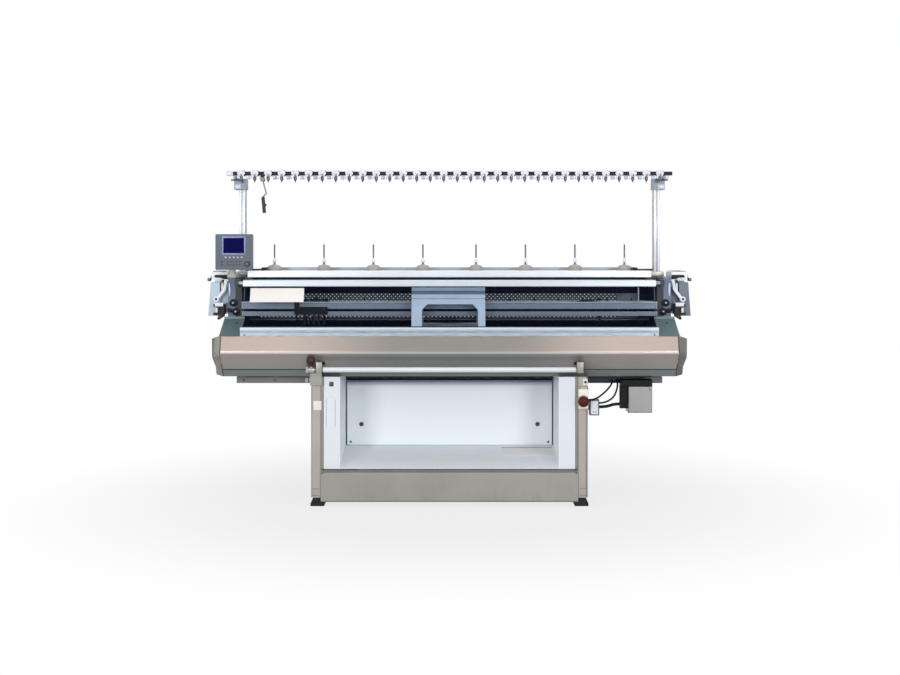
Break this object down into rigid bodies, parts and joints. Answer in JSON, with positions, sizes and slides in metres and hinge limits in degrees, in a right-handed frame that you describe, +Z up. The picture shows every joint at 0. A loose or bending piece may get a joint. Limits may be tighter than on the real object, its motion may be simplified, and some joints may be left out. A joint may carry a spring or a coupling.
{
  "type": "flat knitting machine",
  "caption": "Computer flat knitting machine: long V-shaped needle beds under a tinted cover, carriage, yarn rail on two masts, beige stand with a fabric recess.",
  "frame": {"origin": "on the floor under the middle of the machine", "axes": "+X along the needle beds to the operator's right, +Y from the operator's side to the back, +Z up"},
  "size_m": [2.75, 0.8419, 1.874],
  "materials": {
    "beige_metallic": "satin",
    "white_paint": "satin",
    "blue_grey_metal": "satin",
    "cast_grey": "satin",
    "aluminium": "satin",
    "steel": "brushed",
    "black_plastic": "matte",
    "grey_plastic": "matte",
    "tinted_pane": "gloss",
    "screen_glass": "gloss",
    "red_plastic": "gloss",
    "rubber": "matte",
    "dark_green_paint": "satin",
    "circuit_green": "matte",
    "cast_iron": "matte"
  },
  "bodies": {
    "frame": {"levelling_feet": "rubber", "stand_frame": "beige_metallic", "kick_beam": "beige_metallic", "recess_panels": "white_paint", "controller_cabinet": "blue_grey_metal", "controller_cards": "circuit_green", "bed_beam": "cast_iron", "needle_bed_front": "steel", "needle_bed_rear": "steel", "carriage_rails": "steel", "feeder_rails": "aluminium", "drive_belt": "rubber", "end_frames": "cast_grey", "front_cover": "beige_metallic", "end_caps": "beige_metallic", "corner_panels": "dark_green_paint", "rear_cover": "beige_metallic", "mesh_panel": "cast_grey", "top_rail": "aluminium", "cone_shelf": "cast_grey", "cone_stands": "cast_grey", "masts": "aluminium", "yarn_rail": "black_plastic", "tension_units": "white_paint", "panel_arm": "cast_grey", "bar_brackets": "beige_metallic", "switch_boxes": "beige_metallic", "under_trays": "dark_green_paint", "drive_motor": "black_plastic", "drive_cover": "beige_metallic", "end_housings": "cast_grey", "tension_blocks": "black_plastic", "machine_cables": "rubber"},
    "carriage": {"carriage_bow": "blue_grey_metal", "cam_boxes": "cast_grey"},
    "pulley_left": {"pulley_left": "steel"},
    "pulley_right": {"pulley_right": "steel"},
    "safety_cover": {"cover_rails": "aluminium", "cover_window": "tinted_pane"},
    "control_panel": {"panel_case": "grey_plastic", "panel_screen": "screen_glass"},
    "panel_dial": {"panel_dial": "grey_plastic"},
    "operation_bar": {"operation_bar": "white_paint"},
    "stop_button": {"stop_button": "red_plastic"},
    "controller_door": {"controller_door": "white_paint"},
    "door_lock_left": {"door_lock_left": "steel"},
    "door_lock_right": {"door_lock_right": "steel"},
    "takedown_front": {"takedown_roller_front": "rubber"},
    "takedown_rear": {"takedown_roller_rear": "rubber"},
    "stop_arm": {"stop_arm": "black_plastic"},
    "side_arm_left": {"side_arm_left": "white_paint"},
    "side_arm_right": {"side_arm_right": "white_paint"},
    "lever_left": {"lever_left": "black_plastic"},
    "lever_right": {"lever_right": "black_plastic"},
    "feeder_1": {"yarn_feeder_1": "black_plastic"},
    "feeder_2": {"yarn_feeder_2": "black_plastic"},
    "feeder_3": {"yarn_feeder_3": "black_plastic"},
    "feeder_4": {"yarn_feeder_4": "black_plastic"},
    "feeder_5": {"yarn_feeder_5": "black_plastic"},
    "feeder_6": {"yarn_feeder_6": "black_plastic"}
  },
  "joints": [
    {"name": "carriage_slide", "type": "slide", "parent": "frame", "child": "carriage", "axis": [1, 0, 0], "range_m": [-0.7, 0.7]},
    {"name": "pulley_left_spin", "type": "hinge", "parent": "frame", "child": "pulley_left", "pos_m": [-1.1, 0.24, 0.9], "axis": [0, 1, 0], "range_deg": [-740, 740]},
    {"name": "pulley_right_spin", "type": "hinge", "parent": "frame", "child": "pulley_right", "pos_m": [1.1, 0.24, 0.9], "axis": [0, 1, 0], "range_deg": [-740, 740]},
    {"name": "feeder_1_slide", "type": "slide", "parent": "frame", "child": "feeder_1", "axis": [1, 0, 0], "range_m": [-0.238, 1.8]},
    {"name": "feeder_2_slide", "type": "slide", "parent": "frame", "child": "feeder_2", "axis": [1, 0, 0], "range_m": [-0.284, 1.916]},
    {"name": "feeder_3_slide", "type": "slide", "parent": "frame", "child": "feeder_3", "axis": [1, 0, 0], "range_m": [-0.318, 1.882]},
    {"name": "feeder_4_slide", "type": "slide", "parent": "frame", "child": "feeder_4", "axis": [1, 0, 0], "range_m": [-0.352, 1.848]},
    {"name": "feeder_5_slide", "type": "slide", "parent": "frame", "child": "feeder_5", "axis": [1, 0, 0], "range_m": [-0.386, 1.814]},
    {"name": "feeder_6_slide", "type": "slide", "parent": "frame", "child": "feeder_6", "axis": [1, 0, 0], "range_m": [-1.964, 0.236]},
    {"name": "cover_hinge", "type": "hinge", "parent": "frame", "child": "safety_cover", "pos_m": [0, -0.225, 1.2275], "axis": [-1, 0, 0], "range_deg": [0, 80]},
    {"name": "panel_swivel", "type": "hinge", "parent": "frame", "child": "control_panel", "pos_m": [-1.222, -0.15, 1.3], "axis": [0, 0, 1], "range_deg": [-45, 45]},
    {"name": "dial_turn", "type": "hinge", "parent": "control_panel", "child": "panel_dial", "pos_m": [-1.135, -0.175, 1.334], "axis": [0, -1, 0], "range_deg": [-150, 150]},
    {"name": "bar_turn", "type": "hinge", "parent": "frame", "child": "operation_bar", "pos_m": [0, -0.378, 0.758], "axis": [1, 0, 0], "range_deg": [0, 25]},
    {"name": "stop_push", "type": "slide", "parent": "frame", "child": "stop_button", "axis": [0, 1, 0], "range_m": [0, 0.006], "stiffness_N_per_m": 1500},
    {"name": "door_tilt", "type": "hinge", "parent": "frame", "child": "controller_door", "pos_m": [0, 0.13725, 0.277], "axis": [1, 0, 0], "range_deg": [0, 75]},
    {"name": "door_lock_left_turn", "type": "hinge", "parent": "controller_door", "child": "door_lock_left", "pos_m": [-0.513, 0.1364, 0.396], "axis": [0, 1, 0], "range_deg": [0, 90]},
    {"name": "door_lock_right_turn", "type": "hinge", "parent": "controller_door", "child": "door_lock_right", "pos_m": [0.513, 0.1364, 0.396], "axis": [0, 1, 0], "range_deg": [0, 90]},
    {"name": "takedown_front_spin", "type": "hinge", "parent": "frame", "child": "takedown_front", "pos_m": [0, -0.046, 0.79], "axis": [1, 0, 0], "continuous": true},
    {"name": "takedown_rear_spin", "type": "hinge", "parent": "frame", "child": "takedown_rear", "pos_m": [0, 0.006, 0.79], "axis": [1, 0, 0], "continuous": true},
    {"name": "stop_arm_swing", "type": "hinge", "parent": "frame", "child": "stop_arm", "pos_m": [-1.081, 0.07, 1.82], "axis": [0, 1, 0], "range_deg": [-20, 30]},
    {"name": "side_arm_left_swing", "type": "hinge", "parent": "frame", "child": "side_arm_left", "pos_m": [-1.318, -0.112, 1.134], "axis": [0, 1, 0], "range_deg": [-12, 12]},
    {"name": "side_arm_right_swing", "type": "hinge", "parent": "frame", "child": "side_arm_right", "pos_m": [1.318, -0.112, 1.134], "axis": [0, -1, 0], "range_deg": [-12, 12]},
    {"name": "lever_left_turn", "type": "hinge", "parent": "frame", "child": "lever_left", "pos_m": [-1.354, -0.02, 1.2665], "axis": [-1, 0, 0], "range_deg": [0, 60]},
    {"name": "lever_right_turn", "type": "hinge", "parent": "frame", "child": "lever_right", "pos_m": [1.354, -0.02, 1.2665], "axis": [-1, 0, 0], "range_deg": [0, 60]}
  ],
  "couplings": [
    {"joint": "pulley_left_spin", "follows": "carriage_slide", "rad_per_m": 18.083},
    {"joint": "pulley_right_spin", "follows": "carriage_slide", "rad_per_m": 18.083},
    {"joint": "takedown_rear_spin", "follows": "takedown_front_spin", "ratio": -1}
  ]
}
